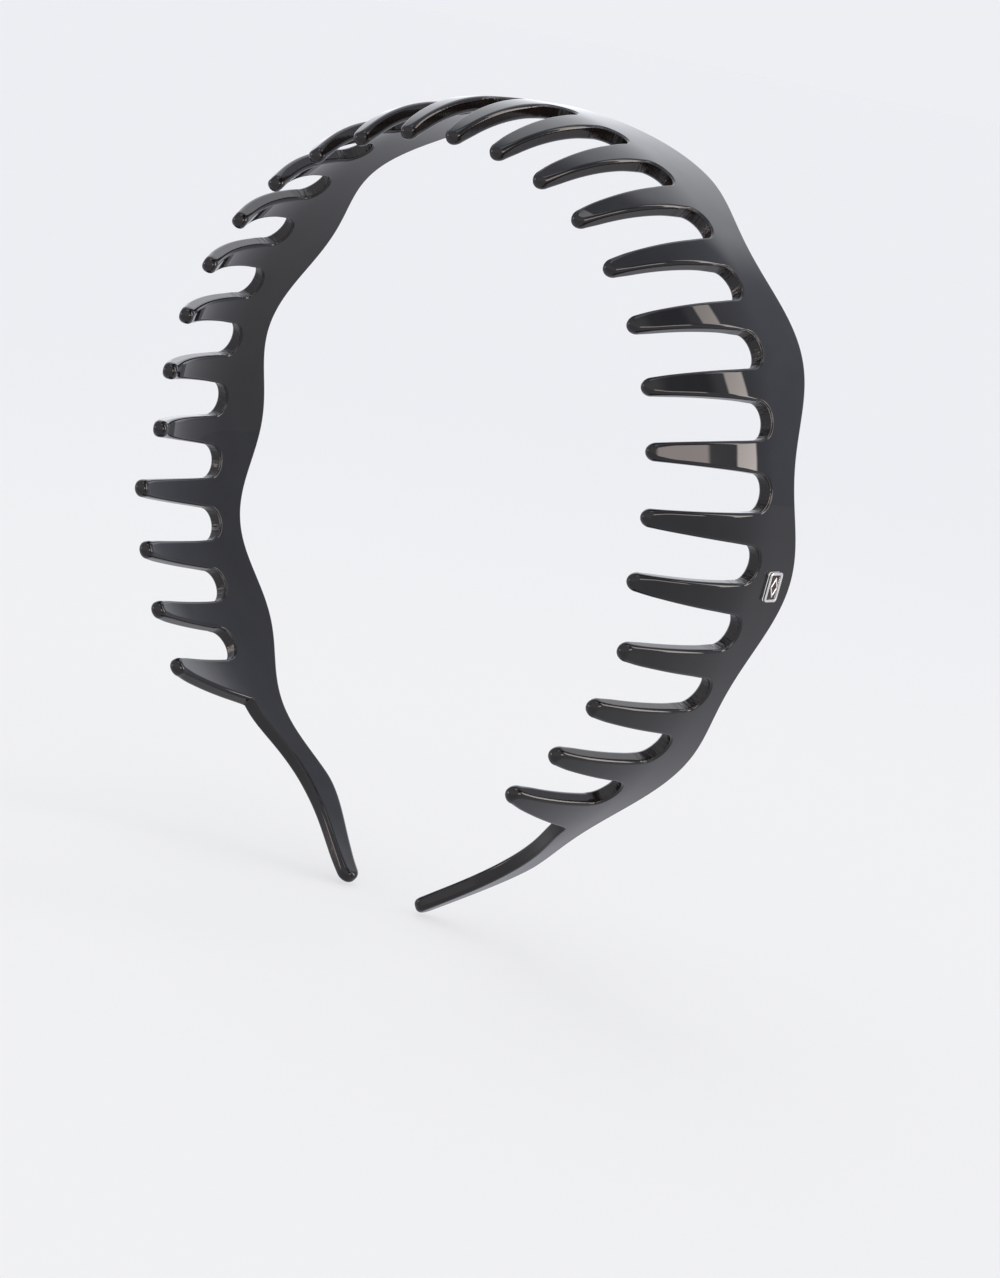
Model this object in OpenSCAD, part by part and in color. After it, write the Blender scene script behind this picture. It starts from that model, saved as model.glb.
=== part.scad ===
// Comb headband: a springy arch of polished plastic with a row of teeth along its front edge, a wavy
// back edge, two slim tails and a small metal plaque on one side.
// The arch stands in the XZ plane, ears along X. The teeth point to -Y and the wavy edge faces +Y.
// The origin is on the inner face at the crown, where the band rests on the head.
// Stations are lengths along the outer face, from the crown (0) down each side to the tail.

/* [Arch] */
// radius of the outer face over the crown
crown_r = 62.5; // [50:1:80]
// radius of the outer face beside the head
side_r = 72.5; // [55:1:100]
// radius of the outer face along the tails
tail_r = 255; // [120:5:400]
// wall thickness of the band
wall = 2.6; // [2:0.1:4]

/* [Teeth] */
// distance from one tooth to the next along the outer face
pitch = 12; // [8:0.5:16]
// teeth on each side of the middle one
side_teeth = 13; // [8:1:16]
// radius of a tooth's tip
tip_r = 1.75; // [1:0.1:2.5]
// radius of the round bottom of a gap
gap_r = 3.2; // [2:0.1:4]
// length of the upper teeth, measured round their bend from the gap bottoms
upper_tooth_l = 26.0; // [15:0.2:35]
// length of the low teeth
low_tooth_l = 25.2; // [15:0.2:35]
// how far the gap bottoms stand in front of the origin
root_reach = 1.5; // [0:0.1:5]
// how much further the last gap's bottom stands in front
root_drop = 3.5; // [0:0.1:8]
// where the last tooth's slope runs into the tail, in front of the origin
corner_reach = 6.2; // [4:0.1:12]
// how far the tips lean towards the crown
tip_lean = 0.6; // [0:0.1:3]
// radius that the upper teeth are bent to
upper_bend_r = 42; // [30:1:80]
// radius that the low teeth are bent to
low_bend_r = 80; // [30:1:120]
// bent upper teeth on each side of the middle one
bent_teeth = 9; // [5:1:12]

/* [Wavy edge] */
// mean reach of the wavy edge behind the origin, at the crown
edge_reach = 9.1; // [5:0.1:14]
// how much the wavy edge comes forward by the last tooth
edge_taper = 4.8; // [0:0.1:8]
// height of a wave, from its middle
wave_h = 2.3; // [0:0.1:4]
// length of a wave
wave_l = 38.8; // [25:0.5:50]
// station of the first crest beside the crown
first_crest = 28; // [20:0.1:40]

/* [Tails] */
// length of a tail below the last tooth
tail_l = 39; // [25:1:60]
// width of a tail near its tip
tail_w = 4.0; // [3:0.1:7]
// how far forward a tail's tip ends
tail_hook = 3; // [0:0.1:10]
// slant of a tail's tip, in degrees
tail_slant = 14; // [0:1:45]

/* [Flex] */
// teeth in each of the crown and the two arms
section_teeth = 9; // [5:2:13]

/* [Plaque] */
// station of the plaque's middle on the right arm
plaque_s = 105.7; // [60:0.1:140]
// how far the plaque's middle lies behind the origin
plaque_y = 3.4; // [0:0.1:6]
// length of the plaque along the band
plaque_l = 5.2; // [3:0.1:10]
// width of the plaque
plaque_w = 3.6; // [3:0.1:8]
// thickness of the plaque above the band
plaque_t = 0.7; // [0.6:0.1:2]
// width of the plaque's rim
rim_w = 0.5; // [0.3:0.05:1]
// radius of the plaque's corners
plaque_corner = 0.7; // [0.55:0.05:1.5]
// radius of a fixing pin
pin_r = 0.4; // [0.25:0.05:0.6]

/* [Hidden] */
$fn = 48;
black = [0.10, 0.10, 0.11];
silver = [0.80, 0.79, 0.77];
enamel = [0.07, 0.06, 0.06];
split_s = pitch * section_teeth / 2;          // where an arm joins the crown
crown_end = pitch * 7;                        // where the outer face opens out to side_r
side_end = pitch * side_teeth;                // where it opens out to tail_r
tooth_end = side_end + pitch / 2;             // where the last tooth's slope meets the tail
tail_end = tooth_end + tail_l;
bent_end = pitch * (bent_teeth + 0.5);        // past here the teeth are bent less
root_half = pitch / 2 - gap_r;                // half a tooth's width at its root
tooth_rows = 9;
tip_rows = 4;
gap_points = 7;
tail_points = 12;
pocket = 0.2;                                 // the plaque is let into the band this much
field_floor = 0.25;                           // thickness of the plaque under its enamel
pin_depth = 1.6;

// the outer face as arcs: radius, first station, last station
arcs = [[crown_r, 0, crown_end], [side_r, crown_end, side_end], [tail_r, side_end, tail_end + 10]];
function turn(i) = (arcs[i][2] - arcs[i][1]) / arcs[i][0] * 180 / PI;
function arc_start(i) = i == 0 ? 0 : arc_start(i - 1) + turn(i - 1);
function arc_centre(i) = i == 0 ? [0, wall - crown_r]
    : arc_centre(i - 1) + (arcs[i - 1][0] - arcs[i][0]) * [sin(arc_start(i)), cos(arc_start(i))];
function arc_of(s) = s <= crown_end ? 0 : s <= side_end ? 1 : 2;
// angle of the outward normal from straight up at station s, and the outer face's point there
function lean(s) = let (i = arc_of(s)) arc_start(i) + (s - arcs[i][1]) / arcs[i][0] * 180 / PI;
function outer(s) = let (i = arc_of(s)) arc_centre(i) + arcs[i][0] * [sin(lean(s)), cos(lean(s))];

// the band is drawn flat, as [station, reach to the front], and laid on the arch here; the front
// bends inward past the gap bottoms; depth goes into the wall from the outer face
function bend_r(s) = abs(s) < bent_end ? upper_bend_r : low_bend_r;
function on_arch(q, depth) =
    let (s = abs(q[0]), over = max(0, q[1] - root_reach), r = bend_r(s), a = over / r * 180 / PI,
         into = r - (r - depth) * cos(a), reach = min(q[1], root_reach) + (r - depth) * sin(a),
         p = outer(s) - into * [sin(lean(s)), cos(lean(s))])
    [q[0] < 0 ? -p[0] : p[0], -reach, p[1]];

// reach of the wavy edge behind the origin
function wave(s) = s < first_crest ? -cos(180 * s / first_crest)
    : cos(360 * (s - first_crest) / wave_l);
function back_edge(s) = [s, -(edge_reach - edge_taper * pow(s / tooth_end, 2) + wave_h * wave(abs(s)))];
// reach of the bottom of gap g, counted in pitches from the middle tooth
function root(g) = root_reach + root_drop * pow(max(0, abs(g) - bent_teeth - 0.5) / 3, 2);
function tooth_l(k) = abs(k) <= bent_teeth ? upper_tooth_l : low_tooth_l;

// a station of the band: its front point, then its back point
function station(q) = [q, back_edge(q[0])];
function gap_stations(g, from, to) = [for (i = [from : to]) let (a = 90 - 180 * i / gap_points)
    station([pitch * g - gap_r * sin(a), root(g) + gap_r * (1 - cos(a))])];
function tooth_stations(k) = let (left = [pitch * k - root_half, root(k - 0.5) + gap_r],
        right = k == side_teeth ? [tooth_end, corner_reach] : [pitch * k + root_half, root(k + 0.5) + gap_r])
    [station(left), station([pitch * k, (left[1] + right[1]) / 2]), station(right)];
function section_end(g) = [station([pitch * g, root(g)])];
half_gap = floor(gap_points / 2);
function teeth_stations(first, last) = [for (k = [first : last])
    each concat(tooth_stations(k), k < last ? gap_stations(k + 0.5, 1, gap_points - 1) : [])];

// the tail: front and back edges as smooth curves, then a round tip
function bezier(a, b, c, d, n) = [for (i = [1 : n]) let (t = i / n)
    pow(1 - t, 3) * a + 3 * pow(1 - t, 2) * t * b + 3 * (1 - t) * t * t * c + t * t * t * d];
tail_dir = [cos(tail_slant), sin(tail_slant)];
tail_side = [-sin(tail_slant), cos(tail_slant)];
tip_centre = [tail_end - tail_w / 2, tail_hook];
waist = tooth_end + 0.42 * tail_l;
function tail_stations() = let (
        front = concat(
            bezier([tooth_end, corner_reach], [tooth_end + 5, corner_reach - 0.3], [waist - 8, 1.9],
                   [waist, 1.2], tail_points),
            bezier([waist, 1.2], [waist + 8, 0.7], tip_centre - 8 * tail_dir + tail_w / 2 * tail_side,
                   tip_centre + tail_w / 2 * tail_side, tail_points)),
        wavy = [for (i = [1 : tail_points]) back_edge(tooth_end + (waist - tooth_end) * i / tail_points)],
        back = concat(wavy,
            bezier(back_edge(waist), back_edge(waist) + [8, -0.2], tip_centre - 8 * tail_dir - tail_w / 2 * tail_side,
                   tip_centre - tail_w / 2 * tail_side, tail_points)),
        tip = [for (a = [20 : 20 : 80]) [tip_centre + tail_w / 2 * (sin(a) * tail_dir + cos(a) * tail_side),
                                         tip_centre + tail_w / 2 * (sin(a) * tail_dir - cos(a) * tail_side)]])
    concat([for (i = [0 : len(front) - 1]) [front[i], back[i]]], tip);

// rows up a tooth from its root: left, middle and right points
function tooth_rows_of(k, base) = let (
        tip_s = pitch * k - sign(k) * tip_lean, shoulder = root_reach + tooth_l(k) - tip_r,
        rows = [for (i = [1 : tooth_rows]) let (t = i / tooth_rows)
            [for (j = [0 : 2]) (1 - t) * base[j][0] + t * [tip_s + (j - 1) * tip_r, shoulder]]],
        round_tip = [for (i = [1 : tip_rows]) let (a = 80 * i / tip_rows)
            [for (j = [0 : 2]) [tip_s + (j - 1) * tip_r * cos(a), shoulder + tip_r * sin(a)]]])
    concat(rows, round_tip);

function quad(a, b, c, d) = [[a, b, c], [a, c, d]];
// the band with teeth first to last, closed at both ends; columns holds all its stations and
// lead says how many stand before the first tooth
module band(columns, lead, first, last) {
    n = len(columns);
    rows = tooth_rows + tip_rows;
    per_tooth = gap_points + 2;
    strip = [for (c = columns) each [on_arch(c[0], 0), on_arch(c[0], wall), on_arch(c[1], wall), on_arch(c[1], 0)]];
    function root_column(k) = lead + per_tooth * (k - first);
    tooth_points = [for (k = [first : last]) let (c = root_column(k))
        each [for (row = tooth_rows_of(k, [columns[c], columns[c + 1], columns[c + 2]]))
            each [on_arch(row[0], 0), on_arch(row[1], 0), on_arch(row[2], 0),
                  on_arch(row[2], wall), on_arch(row[1], wall), on_arch(row[0], wall)]]];
    // number of point i (0 to 5) of row r of tooth k; row 0 is the tooth's root on the strip
    function tooth_point(k, r, i) = r == 0
        ? 4 * (root_column(k) + (i < 3 ? i : 5 - i)) + (i < 3 ? 0 : 1)
        : 4 * n + 6 * ((k - first) * rows + r - 1) + i;
    in_tooth = [for (k = [first : last]) each [root_column(k), root_column(k) + 1]];
    strip_faces = [for (j = [0 : n - 2], e = [0 : 3])
        if (e != 0 || len(search(j, in_tooth)) == 0)
            each quad(4 * j + e, 4 * j + 4 + e, 4 * j + 4 + (e + 1) % 4, 4 * j + (e + 1) % 4)];
    tooth_faces = [for (k = [first : last], r = [0 : rows - 1], i = [0 : 5]) let (m = (i + 1) % 6)
        each quad(tooth_point(k, r, i), tooth_point(k, r, m), tooth_point(k, r + 1, m), tooth_point(k, r + 1, i))];
    tip_faces = [for (k = [first : last]) each [
        each quad(tooth_point(k, rows, 0), tooth_point(k, rows, 1), tooth_point(k, rows, 4), tooth_point(k, rows, 5)),
        each quad(tooth_point(k, rows, 1), tooth_point(k, rows, 2), tooth_point(k, rows, 3), tooth_point(k, rows, 4))]];
    ends = concat(quad(0, 1, 2, 3), quad(4 * n - 1, 4 * n - 2, 4 * n - 3, 4 * n - 4));
    polyhedron(concat(strip, tooth_points), concat(strip_faces, tooth_faces, tip_faces, ends));
}
half_teeth = (section_teeth - 1) / 2;
module arm() {
    start = concat(section_end(section_teeth / 2), gap_stations(section_teeth / 2, half_gap + 1, gap_points - 1));
    band(concat(start, teeth_stations(half_teeth + 1, side_teeth), tail_stations()), len(start),
         half_teeth + 1, side_teeth);
}
// at the plaque's seat: X runs down the band, Y to the back, Z out of it
module plaque_place() {
    p = outer(plaque_s);
    translate([p[0], plaque_y, p[1]]) rotate([0, lean(plaque_s), 0]) translate([0, 0, -pocket]) children();
}
module plaque_plate(inset) {
    l = plaque_l - 2 * inset;
    w = plaque_w - 2 * inset;
    r = plaque_corner - inset;
    square([l, w - 2 * r], center = true);
    square([l - 2 * r, w], center = true);
    for (x = [-1, 1], y = [-1, 1]) translate([x * (l / 2 - r), y * (w / 2 - r)]) circle(r = r);
}
module pins() {
    for (side = [-1, 1]) translate([side * plaque_l / 4, 0, -pin_depth]) cylinder(r = pin_r, h = pin_depth);
}

module band_crown() {
    g = section_teeth / 2;
    start = concat(section_end(-g), gap_stations(-g, half_gap + 1, gap_points - 1));
    finish = concat(gap_stations(g, 1, half_gap), section_end(g));
    color(black) band(concat(start, teeth_stations(-half_teeth, half_teeth), finish), len(start),
                      -half_teeth, half_teeth);
}
module band_right_arm() {
    color(black) difference() {
        arm();
        plaque_place() { linear_extrude(pocket + 1) plaque_plate(0); pins(); }
    }
}
module band_left_arm() { color(black) mirror([1, 0, 0]) arm(); }
module plaque_rim() {
    color(silver) plaque_place() difference() {
        linear_extrude(pocket + plaque_t) plaque_plate(0);
        translate([0, 0, pocket + field_floor]) linear_extrude(plaque_t) plaque_plate(rim_w);
    }
}
module plaque_enamel() {
    color(enamel) plaque_place() translate([0, 0, pocket + field_floor])
        linear_extrude(plaque_t / 3) plaque_plate(rim_w);
}
module plaque_emblem() {
    color(silver) plaque_place() translate([0, 0, pocket + field_floor + plaque_t / 3])
        linear_extrude(plaque_t / 4) scale([1.75, 1]) circle(r = 0.8, $fn = 4);
}
module plaque_pins() { color(silver) plaque_place() pins(); }

band_crown();
band_right_arm();
band_left_arm();
plaque_rim();
plaque_enamel();
plaque_emblem();
plaque_pins();
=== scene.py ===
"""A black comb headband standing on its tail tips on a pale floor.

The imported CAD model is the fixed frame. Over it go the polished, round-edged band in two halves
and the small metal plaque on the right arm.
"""
import math

import bmesh
import bpy
import numpy as np
from mathutils import Matrix, Vector


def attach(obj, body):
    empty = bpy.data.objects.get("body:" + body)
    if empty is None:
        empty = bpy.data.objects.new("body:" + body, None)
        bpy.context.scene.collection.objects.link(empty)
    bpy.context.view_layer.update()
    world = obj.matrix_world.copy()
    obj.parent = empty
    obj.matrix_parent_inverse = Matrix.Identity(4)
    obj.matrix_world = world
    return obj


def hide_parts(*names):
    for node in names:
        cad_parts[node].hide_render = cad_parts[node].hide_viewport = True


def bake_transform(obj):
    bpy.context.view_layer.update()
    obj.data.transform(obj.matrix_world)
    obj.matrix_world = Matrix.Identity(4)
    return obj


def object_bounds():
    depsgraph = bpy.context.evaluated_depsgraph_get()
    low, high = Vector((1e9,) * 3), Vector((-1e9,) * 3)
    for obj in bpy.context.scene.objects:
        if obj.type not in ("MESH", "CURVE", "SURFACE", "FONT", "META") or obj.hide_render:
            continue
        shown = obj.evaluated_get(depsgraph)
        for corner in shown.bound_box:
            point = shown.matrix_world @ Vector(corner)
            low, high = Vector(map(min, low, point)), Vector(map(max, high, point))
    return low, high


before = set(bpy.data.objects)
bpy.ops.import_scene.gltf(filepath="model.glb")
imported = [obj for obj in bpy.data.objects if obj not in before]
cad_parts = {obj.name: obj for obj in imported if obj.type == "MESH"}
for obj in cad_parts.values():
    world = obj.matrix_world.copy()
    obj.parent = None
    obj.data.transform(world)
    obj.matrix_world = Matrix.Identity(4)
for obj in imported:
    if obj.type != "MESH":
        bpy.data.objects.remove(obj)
cad_low, cad_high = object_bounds()

MM = 0.001


def put_in_scene(name, data):
    obj = bpy.data.objects.new(name, data)
    bpy.context.scene.collection.objects.link(obj)
    return obj


def way_to(azimuth, elevation):
    """The direction towards this azimuth and elevation in degrees. Azimuth 0 is the front and 90 the right."""
    az, el = math.radians(azimuth), math.radians(elevation)
    return Vector((math.sin(az) * math.cos(el), -math.cos(az) * math.cos(el), math.sin(el)))


# ---------------------------------------------------------------- camera
CAMERA_AZIMUTH = 36.827
CAMERA_ELEVATION = 10.562
CAMERA_ROLL = 11.225
CAMERA_DISTANCE = 0.5843
CAMERA_AIM = Vector((0.01785, -0.00783, -0.08838))
CAMERA_LENS, SENSOR_WIDTH = 95.26, 36
CAMERA_NEAR, CAMERA_FAR = 0.01, 20


def make_camera():
    az, roll = math.radians(CAMERA_AZIMUTH), math.radians(CAMERA_ROLL)
    back = way_to(CAMERA_AZIMUTH, CAMERA_ELEVATION)
    level = Vector((math.cos(az), math.sin(az), 0))
    rise = back.cross(level)
    right = level * math.cos(roll) + rise * math.sin(roll)
    up = rise * math.cos(roll) - level * math.sin(roll)
    data = bpy.data.cameras.new("camera")
    data.sensor_width = SENSOR_WIDTH
    data.lens = CAMERA_LENS
    data.clip_start, data.clip_end = CAMERA_NEAR, CAMERA_FAR
    data.dof.use_dof = False
    camera = put_in_scene("camera", data)
    place = Matrix((right, up, back)).transposed().to_4x4()
    place.translation = CAMERA_AIM + back * CAMERA_DISTANCE
    camera.matrix_world = place
    bpy.context.scene.camera = camera


make_camera()

# ---------------------------------------------------------------- the band's measures, in millimetres
# "station" is the distance along the outer face from the crown, and "reach" the distance to the front across it
WALL = 2.6                     # thickness of the plastic
CROWN_R, SIDE_R, TAIL_R = 62.5, 72.5, 255.0
CROWN_END, SIDE_END = 84.0, 156.0   # stations where the arch opens out
ARC_EASE = 7.0                 # each change of radius is spread over this much either side
PITCH = 12.0                   # from one tooth to the next
SIDE_TEETH = 13                # on each side of the middle tooth
TIP_R, TIP_TURN = 1.75, 66     # a tooth's round end, and the degrees of it at each side that count as flank
GAP_R = 3.2
ROOT_REACH, ROOT_DROP = 1.5, 3.5    # reach of the gaps' bottoms, and how much more the last gap has
CORNER_REACH = 6.2             # reach of the corner between the last tooth and the tail
TIP_LEAN = 0.6                 # each tooth's tip leans this much towards the crown
UPPER_TOOTH, LOW_TOOTH = 26.0, 25.2
UPPER_BEND_R, LOW_BEND_R = 42.0, 80.0
BENT_TEETH = 9                 # this many from the crown are the upper teeth, with the tighter bend
BEND_EASE = 2.5                # the teeth start to bend over this much either side of ROOT_REACH
EDGE_REACH, EDGE_TAPER = 9.1, 4.8
WAVE_H, WAVE_L, FIRST_CREST = 2.3, 38.8, 28.0
TAIL_L, TAIL_W, TAIL_HOOK, TAIL_SLANT = 39.0, 4.0, 3.0, 14.0
TAIL_WAIST, TAIL_TURN = 0.42, 64    # share of the tail to its waist, and degrees of its round end that are flank
TOOTH_END = SIDE_END + PITCH / 2
TAIL_END = TOOTH_END + TAIL_L
PLAQUE_S, PLAQUE_Y = 105.7, 3.4
PLAQUE_L, PLAQUE_W, PLAQUE_T = 5.2, 3.6, 0.7
PLAQUE_CORNER, PLAQUE_RIM = 0.7, 0.5
POCKET, FIELD_FLOOR = 0.2, 0.25     # how deep the plaque is let in, and its floor above that

# The round-over of every edge: how far it runs in over the face and down the wall. It is small in the gaps
# and along the wavy edge, wider up the flanks of the teeth and down the tails, and a bull nose round each tip.
ROUND, FLANK_ROUND, TIP_ROUND = 0.45, 0.72, 1.22
TAIL_FLANK, TAIL_ROUND = 0.75, 1.05
FLANK_FADE, TIP_FADE, TAIL_FADE = 5.0, 5.0, 7.0
TAIL_EASE = 0.6                # share of the tail over which its flanks get their full round-over

# how finely the band is divided
ACROSS = 14                    # from the front edge to the back
ROOT_STEPS = 12                # across a tooth
FLANK_ROWS, TIP_ROWS = 26, 9
GAP_STEPS = 18                 # round the bottom of a gap
TAIL_STEPS = 26
ROUND_STEPS = 6
WALL_STEPS = 2
HALF_TURN = np.linspace(math.pi / 2, -math.pi / 2, GAP_STEPS + 1)


def running_total(values, step):
    return np.concatenate([[0.0], np.cumsum((values[1:] + values[:-1]) * step / 2)])


def smooth(t):
    t = np.clip(t, 0, 1)
    return t * t * (3 - 2 * t)


# The outer face down one side, from the crown to past the tail's tip: station, lean of its normal from
# straight up, and point.
ARCH_STEP = 0.05
arch_s = np.arange(0, TAIL_END + 15, ARCH_STEP)
arch_curve = (1 / CROWN_R + (1 / SIDE_R - 1 / CROWN_R) * smooth((arch_s - CROWN_END) / (2 * ARC_EASE) + 0.5)
              + (1 / TAIL_R - 1 / SIDE_R) * smooth((arch_s - SIDE_END) / (2 * ARC_EASE) + 0.5))
arch_lean = running_total(arch_curve, ARCH_STEP)
arch_x = running_total(np.cos(arch_lean), ARCH_STEP)
arch_z = WALL - running_total(np.sin(arch_lean), ARCH_STEP)

# The bend of the front edge: distance round it, from behind the back edge to past the teeth's tips, then the
# turn, the reach to the front and the sink into the arch.
bend_t = np.arange(-30, 40, ARCH_STEP)


def bend_table(radius):
    turn = running_total(smooth((bend_t - ROOT_REACH) / (2 * BEND_EASE) + 0.5) / radius, ARCH_STEP)
    return turn, bend_t[0] + running_total(np.cos(turn), ARCH_STEP), running_total(np.sin(turn), ARCH_STEP)


BENDS = (bend_table(UPPER_BEND_R), bend_table(LOW_BEND_R))
BEND_CHANGE = PITCH * (BENT_TEETH + 0.5)


def on_arch(flat, depth):
    """Points of the flat band, as station and reach to the front, laid on the arch this deep in its wall."""
    s = np.abs(flat[:, 0])
    lean = np.interp(s, arch_s, arch_lean)
    low = smooth((s - BEND_CHANGE) / (2 * GAP_R) + 0.5)
    turn, reach, sink = (
        (1 - low) * np.interp(flat[:, 1], bend_t, upper) + low * np.interp(flat[:, 1], bend_t, lower)
        for upper, lower in zip(*BENDS))
    reach = reach - depth * np.sin(turn)
    sink = sink + depth * np.cos(turn)
    x = np.interp(s, arch_s, arch_x) - sink * np.sin(lean)
    z = np.interp(s, arch_s, arch_z) - sink * np.cos(lean)
    return np.column_stack([np.where(flat[:, 0] < 0, -x, x), -reach, z])


def on_arch_normals(flat, depth, facing):
    """Normals on the arch of flat directions: along the stations, to the front, and into the wall."""
    h = 0.2
    slope = np.stack([
        (on_arch(flat + [h, 0], depth) - on_arch(flat - [h, 0], depth)) / (2 * h),
        (on_arch(flat + [0, h], depth) - on_arch(flat - [0, h], depth)) / (2 * h),
        (on_arch(flat, depth + h) - on_arch(flat, depth - h)) / (2 * h)], axis=1)
    normals = np.linalg.solve(slope, facing[:, :, None])[:, :, 0]
    return normals / np.linalg.norm(normals, axis=1)[:, None]


# ---------------------------------------------------------------- the flat band
def wave(s):
    s = abs(s)
    if s < FIRST_CREST:
        return -math.cos(math.pi * s / FIRST_CREST)
    return math.cos(2 * math.pi * (s - FIRST_CREST) / WAVE_L)


def back_edge(s):
    return np.array([s, -(EDGE_REACH - EDGE_TAPER * (s / TOOTH_END) ** 2 + WAVE_H * wave(s))])


def root(gap):
    return ROOT_REACH + ROOT_DROP * (max(0, abs(gap) - BENT_TEETH - 0.5) / 3) ** 2


def gap_point(gap, angle):
    return np.array([PITCH * gap - GAP_R * math.sin(angle), root(gap) + GAP_R * (1 - math.cos(angle))])


def bezier(a, b, c, d, n):
    t = (np.arange(1, n + 1) / n)[:, None]
    a, b, c, d = (np.asarray(p, float) for p in (a, b, c, d))
    return (1 - t) ** 3 * a + 3 * (1 - t) ** 2 * t * b + 3 * (1 - t) * t ** 2 * c + t ** 3 * d


def tooth_length(k):
    return UPPER_TOOTH if abs(k) <= BENT_TEETH else LOW_TOOTH


def tooth_rows(k, left, right):
    """Left and right edge points of tooth k from its root to its tip, then those over the top of the tip."""
    tip_s, shoulder = PITCH * k - np.sign(k) * TIP_LEAN, ROOT_REACH + tooth_length(k) - TIP_R
    sides = []
    for t in np.arange(1, FLANK_ROWS + 1) / FLANK_ROWS:
        sides.append([(1 - t) * left + t * np.array([tip_s - TIP_R, shoulder]),
                      (1 - t) * right + t * np.array([tip_s + TIP_R, shoulder])])
    last = math.radians(TIP_TURN)
    for a in last * np.arange(1, TIP_ROWS + 1) / TIP_ROWS:
        across, on = TIP_R * math.cos(a), TIP_R * math.sin(a)
        sides.append([np.array([tip_s - across, shoulder + on]), np.array([tip_s + across, shoulder + on])])
    over = np.linspace(math.pi - last, last, ROOT_STEPS + 3)[1:-1]
    top = [np.array([tip_s + TIP_R * math.cos(a), shoulder + TIP_R * math.sin(a)]) for a in over]
    return sides, top


def tail_edges():
    """Front and back points of the tail from the last tooth to its tip, then those round the tip's end."""
    slant = math.radians(TAIL_SLANT)
    along = np.array([math.cos(slant), math.sin(slant)])
    aside = np.array([-math.sin(slant), math.cos(slant)]) * TAIL_W / 2
    centre = np.array([TAIL_END - TAIL_W / 2, TAIL_HOOK])
    waist = TOOTH_END + TAIL_WAIST * TAIL_L
    front = np.concatenate([
        bezier([TOOTH_END, CORNER_REACH], [TOOTH_END + 5, CORNER_REACH - 0.3], [waist - 8, 1.9], [waist, 1.2],
               TAIL_STEPS),
        bezier([waist, 1.2], [waist + 8, 0.7], centre - 8 * along + aside, centre + aside, TAIL_STEPS)])
    back = np.concatenate([
        [back_edge(TOOTH_END + (waist - TOOTH_END) * i / TAIL_STEPS) for i in range(1, TAIL_STEPS + 1)],
        bezier(back_edge(waist), back_edge(waist) + [6, -1.1], centre - 8 * along - aside, centre - aside,
               TAIL_STEPS)])
    last = math.radians(TAIL_TURN)
    turns = last * np.arange(1, TIP_ROWS + 1) / TIP_ROWS

    def round_end(angles, which):
        return [centre + math.sin(a) * TAIL_W / 2 * along + which * math.cos(a) * aside for a in angles]

    over = np.linspace(last, math.pi - last, ACROSS + 3)[1:-1]
    return (np.concatenate([front, round_end(turns, 1)]), np.concatenate([back, round_end(turns, -1)]),
            round_end(over, 1))


def plain_round(_):
    return ROUND


def tooth_round(k):
    """A function that gives the round-over at each point of tooth k's edge."""
    top = ROOT_REACH + tooth_length(k)

    def at(p):
        flank = ROUND + (FLANK_ROUND - ROUND) * float(smooth((p[1] - ROOT_REACH - GAP_R) / FLANK_FADE))
        return flank + (TIP_ROUND - FLANK_ROUND) * float(smooth(1 - (top - p[1]) / TIP_FADE))
    return at


def tail_round(p):
    flank = ROUND + (TAIL_FLANK - ROUND) * float(smooth((p[0] - TOOTH_END) / (TAIL_EASE * TAIL_L)))
    return flank + (TAIL_ROUND - TAIL_FLANK) * float(smooth(1 - (TAIL_END - p[0]) / TAIL_FADE))


def band_edge(first_tooth):
    """The edge line of one half of the flat band: from the seam in the gap before first_tooth up and down every
    tooth, round the tail's tip, and back along the wavy edge. With it come the round-over at each point, and, by
    place in the line, the front and back ends of the columns across the band, the teeth and the tail's tip. A
    column from a tooth's root has as its front end the root's two ends and its share of the way between them."""
    edge, rounds, fronts, teeth = [], [], [], []

    def put(points, round_at=plain_round):
        edge.extend(np.asarray(p, float) for p in points)
        rounds.extend(round_at(p) for p in points)
        return list(range(len(edge) - len(points), len(edge)))

    fronts += put([gap_point(first_tooth - 0.5, a) for a in HALF_TURN[GAP_STEPS // 2:-1]])
    for k in range(first_tooth, SIDE_TEETH + 1):
        left = gap_point(k - 0.5, -math.pi / 2)
        right = gap_point(k + 0.5, math.pi / 2) if k < SIDE_TEETH else np.array([TOOTH_END, CORNER_REACH])
        sides, top = tooth_rows(k, left, right)
        column = len(fronts)
        root_left = put([left])[0]
        up = put([p for p, _ in sides], tooth_round(k))
        over = put(top, tooth_round(k))
        down = put([p for _, p in reversed(sides)], tooth_round(k))[::-1]
        root_right = put([right])[0]
        between = [(root_left, root_right, c / ROOT_STEPS) for c in range(1, ROOT_STEPS)]
        fronts += [root_left] + between + [root_right]
        teeth.append((column, up, over, down))
        if k < SIDE_TEETH:
            fronts += put([gap_point(k + 0.5, a) for a in HALF_TURN[1:-1]])
    tail_front, tail_back, tail_tip = tail_edges()
    before_tail = len(fronts)
    fronts += put(tail_front, tail_round)
    tip = put(tail_tip, tail_round)

    def station(f):
        if isinstance(f, tuple):
            return (1 - f[2]) * edge[f[0]][0] + f[2] * edge[f[1]][0]
        return edge[f][0]

    columns = [back_edge(station(f)) for f in fronts[:before_tail]] + list(tail_back)
    backs = put(columns[::-1], tail_round)[::-1]
    return np.array(edge), np.array(rounds), fronts, backs, teeth, tip


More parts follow.
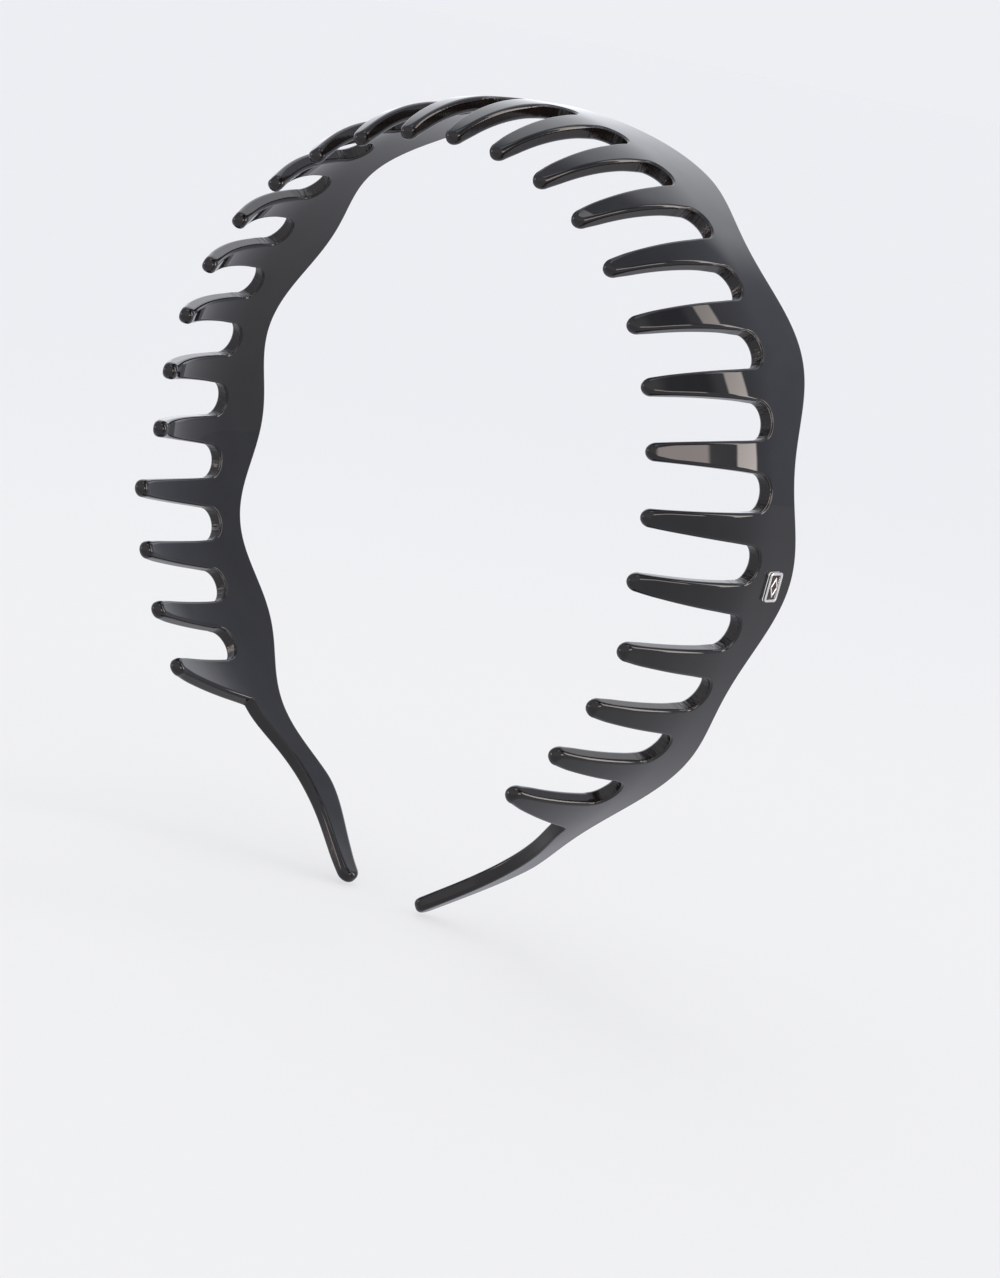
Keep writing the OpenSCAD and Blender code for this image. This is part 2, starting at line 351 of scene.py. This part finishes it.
def out_of_edge(flat, seam):
    """Directions out of the edge line. At the seam the line runs on as it does on the other half."""
    before = gap_point(seam, HALF_TURN[GAP_STEPS // 2 - 1])
    after = back_edge(flat[0][0] - (flat[1][0] - flat[0][0]))
    line = np.vstack([before, flat, after])
    step = line[1:] - line[:-1]
    step /= np.linalg.norm(step, axis=1)[:, None]
    run = step[1:] + step[:-1]
    run /= np.linalg.norm(run, axis=1)[:, None]
    return np.column_stack([-run[:, 1], run[:, 0]])


def edge_profile():
    """The steps over the outer round, down the wall and under the inner round. Each has its inset in shares of
    the round-over, its share of the wall's depth, its depth in the round, and how far it faces out and inward."""
    quarter = np.linspace(0, math.pi / 2, ROUND_STEPS + 1)
    profile = [(1 - math.sin(a), 0.0, 1 - math.cos(a), math.sin(a), -math.cos(a)) for a in quarter]
    profile += [(0, i / WALL_STEPS, 1.0, 1.0, 0.0) for i in range(1, WALL_STEPS)]
    profile += [(1 - math.sin(a), 1.0, 1 - math.cos(a), math.sin(a), math.cos(a)) for a in quarter[::-1]]
    return profile


def band_half(name, first_tooth, side):
    """One half of the band as a closed mesh, from the seam in the gap before first_tooth to the tail's tip.
    side is 1 for the right half, and -1 for the left, which is the same shape turned over."""
    flat, rounds, fronts, backs, teeth, tip = band_edge(first_tooth)
    out = out_of_edge(flat, first_tooth - 0.5)
    places, depths, facings, cut = [], [], [], []   # every vertex: flat place, depth, facing, share of wall

    def vertex(place, depth, facing, wall_share):
        places.append(place)
        depths.append(depth)
        facings.append(facing)
        cut.append(wall_share)
        return len(places) - 1

    # the rings round the edge, and the faces between them
    rings = []
    for inset, down, deep, sideways, inward in edge_profile():
        ring = []
        for p, n, r in zip(flat, out, rounds):
            depth = down * WALL + (1 - 2 * down) * r * deep
            facing = (sideways * n[0], sideways * n[1], inward)
            ring.append(vertex(p - inset * r * n, depth, facing, sideways))
        rings.append(ring)
    faces = []
    for a, b in zip(rings[:-1], rings[1:]):
        faces += [(a[i], a[i + 1], b[i + 1], b[i]) for i in range(len(flat) - 1)]

    def quads(grid):
        for r0, r1 in zip(grid[:-1], grid[1:]):
            faces.extend((r0[i], r0[i + 1], r1[i + 1], r1[i]) for i in range(len(r0) - 1))

    # the outer and inner faces, filled in across the band and up each tooth
    inset_line = flat - rounds[:, None] * out
    seam_loop = []
    for ring, depth, facing in ((rings[0], 0.0, (0, 0, -1.0)), (rings[-1], WALL, (0, 0, 1.0))):

        def between(start, end, steps):
            return [vertex((1 - m / steps) * start + m / steps * end, depth, facing, 0) for m in range(1, steps)]

        strip = []
        for f, b in zip(fronts, backs):
            if isinstance(f, tuple):
                start = (1 - f[2]) * inset_line[f[0]] + f[2] * inset_line[f[1]]
                first = vertex(start, depth, facing, 0)
            else:
                start, first = inset_line[f], ring[f]
            strip.append([first] + between(start, inset_line[b], ACROSS) + [ring[b]])
        strip.append([ring[i] for i in tip])
        quads(strip)
        for column, up, over, down in teeth:
            grid = [[strip[column + c][0] for c in range(ROOT_STEPS + 1)]]
            for l, r in zip(up, down):
                grid.append([ring[l]] + between(inset_line[l], inset_line[r], ROOT_STEPS) + [ring[r]])
            grid.append([ring[i] for i in over])
            quads([row[::-1] for row in grid])
        seam_loop.append(strip[0])
    # the seam's own end face
    front_wall = [r[0] for r in rings]
    back_wall = [r[-1] for r in rings]
    end = seam_loop[0] + back_wall[1:] + seam_loop[1][::-1][1:] + front_wall[::-1][1:-1]

    places, depths = np.array(places), np.array(depths)
    points = on_arch(places, depths)
    normals = on_arch_normals(places, depths, np.array(facings, float))
    points[:, 0] *= side
    normals[:, 0] *= side
    # wind every face to look out of the plastic, and the end face to look back past the seam
    corners = points[np.array(faces)]
    looks = np.cross(corners[:, 2] - corners[:, 0], corners[:, 3] - corners[:, 1])
    outward = (looks * normals[np.array(faces)].sum(1)).sum(1) > 0
    faces = [f if good else f[::-1] for f, good in zip(faces, outward)]
    loop = points[end]
    area = np.cross(loop, np.roll(loop, -1, 0)).sum(0)
    if area[0] * side > 0:
        end = end[::-1]
    faces.append(tuple(end))

    mesh = bpy.data.meshes.new(name)
    mesh.from_pydata((points * MM).tolist(), [], faces)
    mesh.validate()
    mesh.polygons.foreach_set("use_smooth", np.ones(len(mesh.polygons), bool))
    loops = np.zeros(len(mesh.loops), np.int32)
    mesh.loops.foreach_get("vertex_index", loops)
    loop_normals = normals[loops]
    end_face = mesh.polygons[len(faces) - 1]
    loop_normals[list(end_face.loop_indices)] = np.array(end_face.normal)
    mesh.normals_split_custom_set(loop_normals.tolist())
    laid = mesh.attributes.new("laid_flat", "FLOAT_VECTOR", "POINT")
    laid_places = np.column_stack([side * places[:, 0], places[:, 1], depths])
    laid.data.foreach_set("vector", laid_places.astype(np.float32).ravel())
    share = mesh.attributes.new("cut_wall", "FLOAT", "POINT")
    share.data.foreach_set("value", np.array(cut, np.float32))
    return put_in_scene(name, mesh)


right_half = band_half("band_right_half", 1, 1)
left_half = band_half("band_left_half", 0, -1)

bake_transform(right_half)
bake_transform(left_half)
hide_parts("band_crown", "band_right_arm")
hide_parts("band_crown", "band_left_arm")


# ---------------------------------------------------------------- node helpers
def new_group(name, inputs, outputs):
    group = bpy.data.node_groups.new(name, "ShaderNodeTree")
    for label, kind, value in inputs:
        socket = group.interface.new_socket(name=label, in_out="INPUT", socket_type=kind)
        if value is not None:
            socket.default_value = value
    for label, kind in outputs:
        group.interface.new_socket(name=label, in_out="OUTPUT", socket_type=kind)
    return group, group.nodes.new("NodeGroupInput"), group.nodes.new("NodeGroupOutput")


def add(tree, kind, settings=None, **inputs):
    """A node of this kind. Its inputs are given by name, or by place as i0, i1 and so on, each as the output of
    another node or as a value."""
    node = tree.nodes.new(kind)
    for key, value in (settings or {}).items():
        setattr(node, key, value)
    for key, value in inputs.items():
        by_place = key[0] == "i" and key[1:].isdigit()
        socket = node.inputs[int(key[1:]) if by_place else key.replace("_", " ")]
        if isinstance(value, bpy.types.NodeSocket):
            tree.links.new(value, socket)
        else:
            socket.default_value = value
    return node


def math_node(tree, operation, *values, clamp=False):
    inputs = {f"i{n}": value for n, value in enumerate(values)}
    return add(tree, "ShaderNodeMath", {"operation": operation, "use_clamp": clamp}, **inputs).outputs[0]


def place_group(tree, group, **inputs):
    return add(tree, "ShaderNodeGroup", {"node_tree": group}, **inputs)


def mix_colour(tree, factor, a, b):
    return add(tree, "ShaderNodeMix", {"data_type": "RGBA"}, i0=factor, i6=a, i7=b).outputs[2]


def ramp(tree, value, low, high, first=0.0, last=1.0, eased=True):
    """Goes from first to last while value goes from low to high."""
    return add(tree, "ShaderNodeMapRange", {"interpolation_type": "SMOOTHSTEP" if eased else "LINEAR"},
               Value=value, From_Min=low, From_Max=high, To_Min=first, To_Max=last).outputs[0]


V, F, C = "NodeSocketVector", "NodeSocketFloat", "NodeSocketColor"


def clouding_group():
    """Soft uneven clouds in moulded plastic or enamel, as a colour between two shades and as a mask."""
    inputs = [("Place", V, None), ("Scale", F, 0.1), ("Light", C, (0.02, 0.02, 0.02, 1)),
              ("Dark", C, (0.01, 0.01, 0.01, 1))]
    g, i, o = new_group("clouding", inputs, [("Color", C), ("Mask", F)])
    wide = add(g, "ShaderNodeTexNoise", Vector=i.outputs["Place"], Scale=i.outputs["Scale"], Detail=3.0,
               Roughness=0.55)
    mask = ramp(g, wide.outputs[0], 0.32, 0.68)
    g.links.new(mix_colour(g, mask, i.outputs["Dark"], i.outputs["Light"]), o.inputs["Color"])
    g.links.new(mask, o.inputs["Mask"])
    return g


def hairlines_group():
    """Fine polishing hairlines along one direction, as a mask."""
    inputs = [("Place", V, None), ("Fineness", F, 6.0), ("Amount", F, 0.5)]
    g, i, o = new_group("hairlines", inputs, [("Mask", F)])
    stretched = add(g, "ShaderNodeVectorMath", {"operation": "MULTIPLY"}, i0=i.outputs["Place"],
                    i1=(0.06, 1.0, 1.0))
    lines = add(g, "ShaderNodeTexNoise", Vector=stretched.outputs[0], Scale=i.outputs["Fineness"], Detail=4.0,
                Roughness=0.7)
    thin = ramp(g, lines.outputs[0], 0.56, 0.74, eased=False)
    patch = add(g, "ShaderNodeTexNoise", Vector=i.outputs["Place"], Scale=0.09, Detail=2.0)
    where = ramp(g, patch.outputs[0], 0.42, 0.66, eased=False)
    mask = math_node(g, "MULTIPLY", math_node(g, "MULTIPLY", thin, where), i.outputs["Amount"], clamp=True)
    g.links.new(mask, o.inputs["Mask"])
    return g


def dust_group():
    """Scattered specks of dust, as a mask."""
    inputs = [("Place", V, None), ("Spacing", F, 0.35), ("Size", F, 0.05), ("Share", F, 0.3)]
    g, i, o = new_group("dust", inputs, [("Mask", F)])
    cells = add(g, "ShaderNodeTexVoronoi", Vector=i.outputs["Place"], Scale=i.outputs["Spacing"])
    speck = math_node(g, "LESS_THAN", cells.outputs["Distance"], i.outputs["Size"])
    pick = add(g, "ShaderNodeSeparateColor", i0=cells.outputs["Color"])
    kept = math_node(g, "LESS_THAN", pick.outputs[0], i.outputs["Share"])
    g.links.new(math_node(g, "MULTIPLY", speck, kept), o.inputs["Mask"])
    return g


clouding, hairlines, dust = clouding_group(), hairlines_group(), dust_group()


def new_material(name):
    mat = bpy.data.materials.new(name)
    mat.use_nodes = True
    tree = mat.node_tree
    tree.nodes.clear()
    shader = tree.nodes.new("ShaderNodeBsdfPrincipled")
    output = tree.nodes.new("ShaderNodeOutputMaterial")
    tree.links.new(shader.outputs[0], output.inputs[0])
    return mat, tree, shader


def polished_black_plastic():
    mat, t, shader = new_material("polished_black_plastic")
    place = add(t, "ShaderNodeAttribute", {"attribute_name": "laid_flat"}).outputs["Vector"]
    wall = add(t, "ShaderNodeAttribute", {"attribute_name": "cut_wall"}).outputs["Fac"]
    clouds = place_group(t, clouding, Place=place, Scale=0.16, Light=(0.0075, 0.0075, 0.0080, 1),
                         Dark=(0.0045, 0.0045, 0.0048, 1))
    lines = place_group(t, hairlines, Place=place, Fineness=5.0, Amount=0.8)
    specks = place_group(t, dust, Place=place, Spacing=0.16, Size=0.02, Share=0.35)
    on_wall = ramp(t, wall, 0.75, 1.0)
    cut_colour = mix_colour(t, on_wall, clouds.outputs["Color"], (0.010, 0.0075, 0.0065, 1))
    dusty = math_node(t, "MULTIPLY", specks.outputs[0], 0.5)
    t.links.new(mix_colour(t, dusty, cut_colour, (0.16, 0.15, 0.14, 1)), shader.inputs["Base Color"])
    rough = math_node(t, "MULTIPLY_ADD", clouds.outputs["Mask"], 0.02, 0.02)
    for mask, more in ((lines.outputs[0], 0.10), (on_wall, 0.04), (specks.outputs[0], 0.35)):
        rough = math_node(t, "MULTIPLY_ADD", mask, more, rough)
    t.links.new(rough, shader.inputs["Roughness"])
    shader.inputs["IOR"].default_value = 1.49
    # a slow waviness of the pressed sheet, and the coarser tooling of the cut walls, strongest in the gaps
    sheet = add(t, "ShaderNodeTexNoise", Vector=place, Scale=0.11, Detail=1.0)
    drawn = add(t, "ShaderNodeVectorMath", {"operation": "MULTIPLY"}, i0=place, i1=(1.0, 1.0, 0.12))
    tooling = add(t, "ShaderNodeTexNoise", Vector=drawn.outputs[0], Scale=1.1, Detail=3.0, Roughness=0.6)
    station, reach, _ = add(t, "ShaderNodeSeparateXYZ", i0=place).outputs
    in_gap = ramp(t, reach, 4.0, 8.0, 0.36, 0.02)
    off_tail = ramp(t, math_node(t, "ABSOLUTE", station), TOOTH_END - 4, TOOTH_END, 1.0, 0.05)
    height = math_node(t, "MULTIPLY", math_node(t, "MULTIPLY", tooling.outputs[0], on_wall),
                       math_node(t, "MULTIPLY", in_gap, off_tail))
    height = math_node(t, "MULTIPLY_ADD", sheet.outputs[0], 0.045, height)
    bump = add(t, "ShaderNodeBump", Height=height, Strength=1.0, Distance=MM)
    t.links.new(bump.outputs[0], shader.inputs["Normal"])
    return mat


black = polished_black_plastic()
for half in (right_half, left_half):
    half.data.materials.append(black)


def place_in_mm(tree):
    where = add(tree, "ShaderNodeTexCoord").outputs["Object"]
    return add(tree, "ShaderNodeVectorMath", {"operation": "SCALE"}, i0=where, Scale=1 / MM).outputs[0]


def silver_plate():
    mat, t, shader = new_material("polished_silver_plate")
    place = place_in_mm(t)
    clouds = place_group(t, clouding, Place=place, Scale=0.9, Light=(0.97, 0.95, 0.92, 1),
                         Dark=(0.84, 0.80, 0.75, 1))
    lines = place_group(t, hairlines, Place=place, Fineness=9.0, Amount=0.9)
    specks = place_group(t, dust, Place=place, Spacing=2.2, Size=0.12, Share=0.3)
    dusty = math_node(t, "MULTIPLY", specks.outputs[0], 0.6)
    t.links.new(mix_colour(t, dusty, clouds.outputs["Color"], (0.10, 0.07, 0.05, 1)), shader.inputs["Base Color"])
    shader.inputs["Metallic"].default_value = 1.0
    rough = math_node(t, "MULTIPLY_ADD", clouds.outputs["Mask"], 0.05, 0.10)
    rough = math_node(t, "MULTIPLY_ADD", lines.outputs[0], 0.15, rough)
    t.links.new(rough, shader.inputs["Roughness"])
    bump = add(t, "ShaderNodeBump", Height=lines.outputs[0], Strength=0.5, Distance=0.004 * MM)
    t.links.new(bump.outputs[0], shader.inputs["Normal"])
    return mat


def dark_enamel():
    mat, t, shader = new_material("dark_enamel")
    place = place_in_mm(t)
    clouds = place_group(t, clouding, Place=place, Scale=1.4, Light=(0.030, 0.018, 0.011, 1),
                         Dark=(0.010, 0.007, 0.006, 1))
    specks = place_group(t, dust, Place=place, Spacing=2.6, Size=0.10, Share=0.25)
    dusty = math_node(t, "MULTIPLY", specks.outputs[0], 0.4)
    t.links.new(mix_colour(t, dusty, clouds.outputs["Color"], (0.25, 0.2, 0.15, 1)), shader.inputs["Base Color"])
    t.links.new(math_node(t, "MULTIPLY_ADD", clouds.outputs["Mask"], 0.08, 0.06), shader.inputs["Roughness"])
    bump = add(t, "ShaderNodeBump", Height=clouds.outputs["Mask"], Strength=0.6, Distance=0.02 * MM)
    t.links.new(bump.outputs[0], shader.inputs["Normal"])
    return mat


silver, enamel = silver_plate(), dark_enamel()


# ---------------------------------------------------------------- the plaque
TOP = POCKET + PLAQUE_T        # height of the frame above its seat
ROLL = 0.16                    # its rounded top edges
GROOVE = 0.10                  # a fine groove round its outside
FIELD_GAP = 0.005              # between the frame and the field
FIELD_TOP = POCKET + FIELD_FLOOR + PLAQUE_T / 3
LOZENGE_L, LOZENGE_W, LOZENGE_BAR = 1.78, 1.02, 0.34
LOZENGE_BASE, LOZENGE_TOP = FIELD_TOP - 0.05, FIELD_TOP + PLAQUE_T / 4 + 0.06
BEVEL_H, BEVEL_L, BEVEL_W = 0.08, 0.10, 0.06


def plaque_seat():
    """Turns points at the plaque's seat, X down the band, Y to the back and Z out of it, into the frame."""
    lean = float(np.interp(PLAQUE_S, arch_s, arch_lean))
    x, z = float(np.interp(PLAQUE_S, arch_s, arch_x)), float(np.interp(PLAQUE_S, arch_s, arch_z))
    turn = Matrix.Rotation(lean, 4, "Y")
    return Matrix.Translation(Vector((x, PLAQUE_Y, z))) @ turn @ Matrix.Translation((0, 0, -POCKET))


def rounded_plan(inset, steps=8):
    """The plaque's plan drawn in by inset, as a loop of points."""
    r = max(PLAQUE_CORNER - inset, 0.08)
    l, w = PLAQUE_L / 2 - inset - r, PLAQUE_W / 2 - inset - r
    loop = []
    for corner, (cx, cy) in enumerate(((l, w), (-l, w), (-l, -w), (l, -w))):
        for i in range(steps + 1):
            a = math.pi / 2 * (corner + i / steps)
            loop.append((cx + r * math.cos(a), cy + r * math.sin(a)))
    return loop


def solid_from_loops(name, loops, closed_round, mat, node):
    """Joins loops of points, each (plan, height), into a smooth solid on the plaque's seat."""
    n = len(loops[0])
    points = [p for loop in loops for p in loop]
    faces = []
    pairs = list(zip(range(len(loops) - 1), range(1, len(loops))))
    if closed_round:
        pairs.append((len(loops) - 1, 0))
    else:
        faces += [tuple(range(n))[::-1], tuple(range(n * (len(loops) - 1), n * len(loops)))]
    for a, b in pairs:
        faces += [(a * n + i, a * n + (i + 1) % n, b * n + (i + 1) % n, b * n + i) for i in range(n)]
    mesh = bpy.data.meshes.new(name)
    seat = plaque_seat()
    mesh.from_pydata([tuple((seat @ Vector(p)) * MM) for p in points], [], faces)
    mesh.validate()
    mesh.materials.append(mat)
    obj = put_in_scene(name, mesh)
    work = bmesh.new()
    work.from_mesh(mesh)
    bmesh.ops.recalc_face_normals(work, faces=work.faces)
    work.to_mesh(mesh)
    work.free()
    mesh.polygons.foreach_set("use_smooth", np.ones(len(mesh.polygons), bool))
    edges = obj.modifiers.new("crisp_flats", "WEIGHTED_NORMAL")
    edges.keep_sharp = True
    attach(obj, "right_arm")
    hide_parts(node)


def raised_loop(inset, height):
    return [(x, y, height) for x, y in rounded_plan(inset)]


def lozenge_loop(half_l, half_w, height, steps=6):
    loop = []
    for corner in range(4):
        a, b = corner * math.pi / 2, (corner + 1) * math.pi / 2
        start = Vector((half_l * math.cos(a), half_w * math.sin(a)))
        end = Vector((half_l * math.cos(b), half_w * math.sin(b)))
        for i in range(steps):
            p = start.lerp(end, i / steps)
            loop.append((p.x, p.y, height))
    return loop


def plaque_frame():
    quarter = np.linspace(0.25, math.pi / 2, 5)
    section = [(0.0, 0.0), (0.0, 0.36), (GROOVE, 0.40), (GROOVE, 0.48), (0.0, 0.52), (0.0, TOP - ROLL)]
    section += [(ROLL * (1 - math.cos(a)), TOP - ROLL + ROLL * math.sin(a)) for a in quarter]
    section += [(PLAQUE_RIM - ROLL * (1 - math.cos(a)), TOP - ROLL + ROLL * math.sin(a))
                for a in np.linspace(math.pi / 2, 0.25, 5)]
    section += [(PLAQUE_RIM, TOP - ROLL), (PLAQUE_RIM, POCKET + FIELD_FLOOR), (1.4, POCKET + FIELD_FLOOR)]
    solid_from_loops("plaque_frame", [raised_loop(i, h) for i, h in section], False, silver,
                     "plaque_rim")


def plaque_field():
    """The enamel field, a little domed and lower at its edge."""
    edge = PLAQUE_RIM + FIELD_GAP
    loops = [raised_loop(edge, POCKET + FIELD_FLOOR + 0.01)]
    for inset, rise in ((0.0, 0.0), (0.05, 0.05), (0.15, 0.08), (0.4, 0.10), (0.9, 0.11)):
        loops.append(raised_loop(edge + inset, FIELD_TOP - 0.10 + rise))
    solid_from_loops("plaque_field", loops, False, enamel, "plaque_enamel")


def plaque_lozenge():
    """A raised lozenge drawn as a bar with bevelled edges."""
    in_l, in_w = LOZENGE_L - LOZENGE_BAR * LOZENGE_L / LOZENGE_W, LOZENGE_W - LOZENGE_BAR
    loops = [lozenge_loop(LOZENGE_L, LOZENGE_W, LOZENGE_BASE),
             lozenge_loop(LOZENGE_L, LOZENGE_W, LOZENGE_TOP - BEVEL_H),
             lozenge_loop(LOZENGE_L - BEVEL_L, LOZENGE_W - BEVEL_W, LOZENGE_TOP),
             lozenge_loop(in_l + BEVEL_L, in_w + BEVEL_W, LOZENGE_TOP),
             lozenge_loop(in_l, in_w, LOZENGE_TOP - BEVEL_H),
             lozenge_loop(in_l, in_w, LOZENGE_BASE)]
    solid_from_loops("plaque_lozenge", loops, True, silver, "plaque_emblem")


plaque_frame()
plaque_field()
plaque_lozenge()
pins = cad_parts["plaque_pins"]
pins.data.materials.clear()
pins.data.materials.append(silver)

# ---------------------------------------------------------------- floor and light
FLOOR_REACH, FLOOR_STEPS = 40.0, 48
NEAR_END, FAR_START = 0.10, 0.8     # metres from the object where the paper's tone starts and stops changing
# painted light: the glow of the floor, near and far as the eye meets it, and as the plastic mirrors it
NEAR_GLOW, FAR_GLOW, MIRRORED_GLOW = (0.622, 0.625, 0.637, 1), (0.598, 0.605, 0.628, 1), (0.44, 0.445, 0.50, 1)


def pale_paper():
    """A seamless sheet of paper: evenly bright near the object and a shade cooler far behind it."""
    mat, t, shader = new_material("pale_floor_paper")
    where = add(t, "ShaderNodeTexCoord").outputs["Object"]
    grain = add(t, "ShaderNodeTexNoise", Vector=where, Scale=260.0, Detail=2.0)
    away = add(t, "ShaderNodeVectorMath", {"operation": "LENGTH"}, i0=where)
    far = ramp(t, away.outputs["Value"], NEAR_END, FAR_START)
    near_tone = mix_colour(t, grain.outputs[0], (0.216, 0.220, 0.209, 1), (0.224, 0.228, 0.217, 1))
    t.links.new(mix_colour(t, far, near_tone, (0.210, 0.214, 0.214, 1)), shader.inputs["Base Color"])
    # the floor glows with painted light, which keeps the shadows on it faint; the floor the plastic mirrors is
    # dimmer than the floor the eye meets
    eye = add(t, "ShaderNodeLightPath").outputs["Is Camera Ray"]
    glow = mix_colour(t, eye, MIRRORED_GLOW, mix_colour(t, far, NEAR_GLOW, FAR_GLOW))
    t.links.new(glow, shader.inputs["Emission Color"])
    shader.inputs["Emission Strength"].default_value = 1.0
    shader.inputs["Roughness"].default_value = 0.9
    shader.inputs["Specular IOR Level"].default_value = 0.0
    return mat


def lay_floor():
    mesh = bpy.data.meshes.new("floor")
    rim = [(FLOOR_REACH * math.cos(a), FLOOR_REACH * math.sin(a), cad_low.z)
           for a in np.linspace(0, 2 * math.pi, FLOOR_STEPS + 1)[:-1]]
    mesh.from_pydata(rim, [], [tuple(range(len(rim)))])
    mesh.materials.append(pale_paper())
    floor = put_in_scene("floor", mesh)


# Every panel of light or shade round the object: azimuth and elevation of its middle in degrees, half its
# width and height, softness of its edge, colour, and strength at its middle and how it changes upward per
# degree. A later panel covers an earlier one.
PANELS = (
    ("pale_wall_behind", -150, 24, 34, 42, 16, (0.97, 0.99, 1.05), 1.45, 0.0),
    ("right_wall", 40, 0, 75, 55, 30, (1.0, 0.99, 1.02), 0.90, 0.0),
    ("shaded_corner", 98, 42, 16, 20, 10, (0.92, 0.95, 1.1), 0.40, 0.0),
    ("tall_softbox", 128.5, 28, 6.2, 26, 1.8, (1.09, 0.99, 0.94), 5.6, -0.085),
    ("low_softbox", 91, 15, 13.6, 8.8, 3.0, (1.12, 0.98, 0.94), 5.0, 0.0),
    ("front_softbox", -54, -1, 7, 13, 1.5, (1.14, 0.97, 0.90), 4.6, 0.0),
    ("overhead_softbox", 60, 80, 60, 7, 4, (1.0, 1.0, 1.02), 2.6, 0.0),
)
ROOM = (0.60, 0.62, 0.72)
BACKDROP = (0.855, 0.863, 0.893)
WINDOW_AZIMUTH, WINDOW_ELEVATION = -104, 60
WINDOW_POWER, WINDOW_SPREAD = 0.60, 46


def light_studio():
    world = bpy.data.worlds.new("studio")
    bpy.context.scene.world = world
    world.use_nodes = True
    t = world.node_tree
    t.nodes.clear()
    x, y, z = add(t, "ShaderNodeSeparateXYZ", i0=add(t, "ShaderNodeTexCoord").outputs["Generated"]).outputs
    around = math_node(t, "ARCTAN2", x, math_node(t, "MULTIPLY", y, -1.0))
    azimuth = math_node(t, "MULTIPLY", around, 180 / math.pi)
    elevation = math_node(t, "MULTIPLY", math_node(t, "ARCSINE", z), 180 / math.pi)
    light = (*ROOM, 1)
    for _, az, el, half_w, half_h, soft, colour, strength, climb in PANELS:
        off = math_node(t, "WRAP", math_node(t, "SUBTRACT", azimuth, az), 180.0, -180.0)
        high = math_node(t, "SUBTRACT", elevation, el)
        masks = [ramp(t, math_node(t, "ABSOLUTE", gap), half - soft / 2, half + soft / 2, 1.0, 0.0)
                 for gap, half in ((off, half_w), (high, half_h))]
        mask = math_node(t, "MULTIPLY", *masks)
        power = math_node(t, "MAXIMUM", math_node(t, "MULTIPLY_ADD", high, climb, strength), 0.0)
        tint = add(t, "ShaderNodeVectorMath", {"operation": "SCALE"}, i0=colour, Scale=power)
        light = mix_colour(t, mask, light, tint.outputs[0])
    seen = mix_colour(t, add(t, "ShaderNodeLightPath").outputs["Is Camera Ray"], light, (*BACKDROP, 1))
    background = add(t, "ShaderNodeBackground", Color=seen, Strength=1.0)
    output = t.nodes.new("ShaderNodeOutputWorld")
    t.links.new(background.outputs[0], output.inputs[0])
    world.cycles.sampling_method = "MANUAL"
    world.cycles.sample_map_resolution = 1024


def window_light():
    """The broad, soft light from the left that draws the short shadows at the feet."""
    data = bpy.data.lights.new("window_light", "SUN")
    data.energy = WINDOW_POWER
    data.angle = math.radians(WINDOW_SPREAD)
    data.color = (1.0, 0.99, 0.97)
    lamp = put_in_scene("window_light", data)
    lamp.rotation_euler = way_to(WINDOW_AZIMUTH, WINDOW_ELEVATION).to_track_quat("Z", "Y").to_euler()
    lamp.visible_glossy = False


lay_floor()
light_studio()
window_light()
bpy.context.scene.view_settings.view_transform = "Standard"
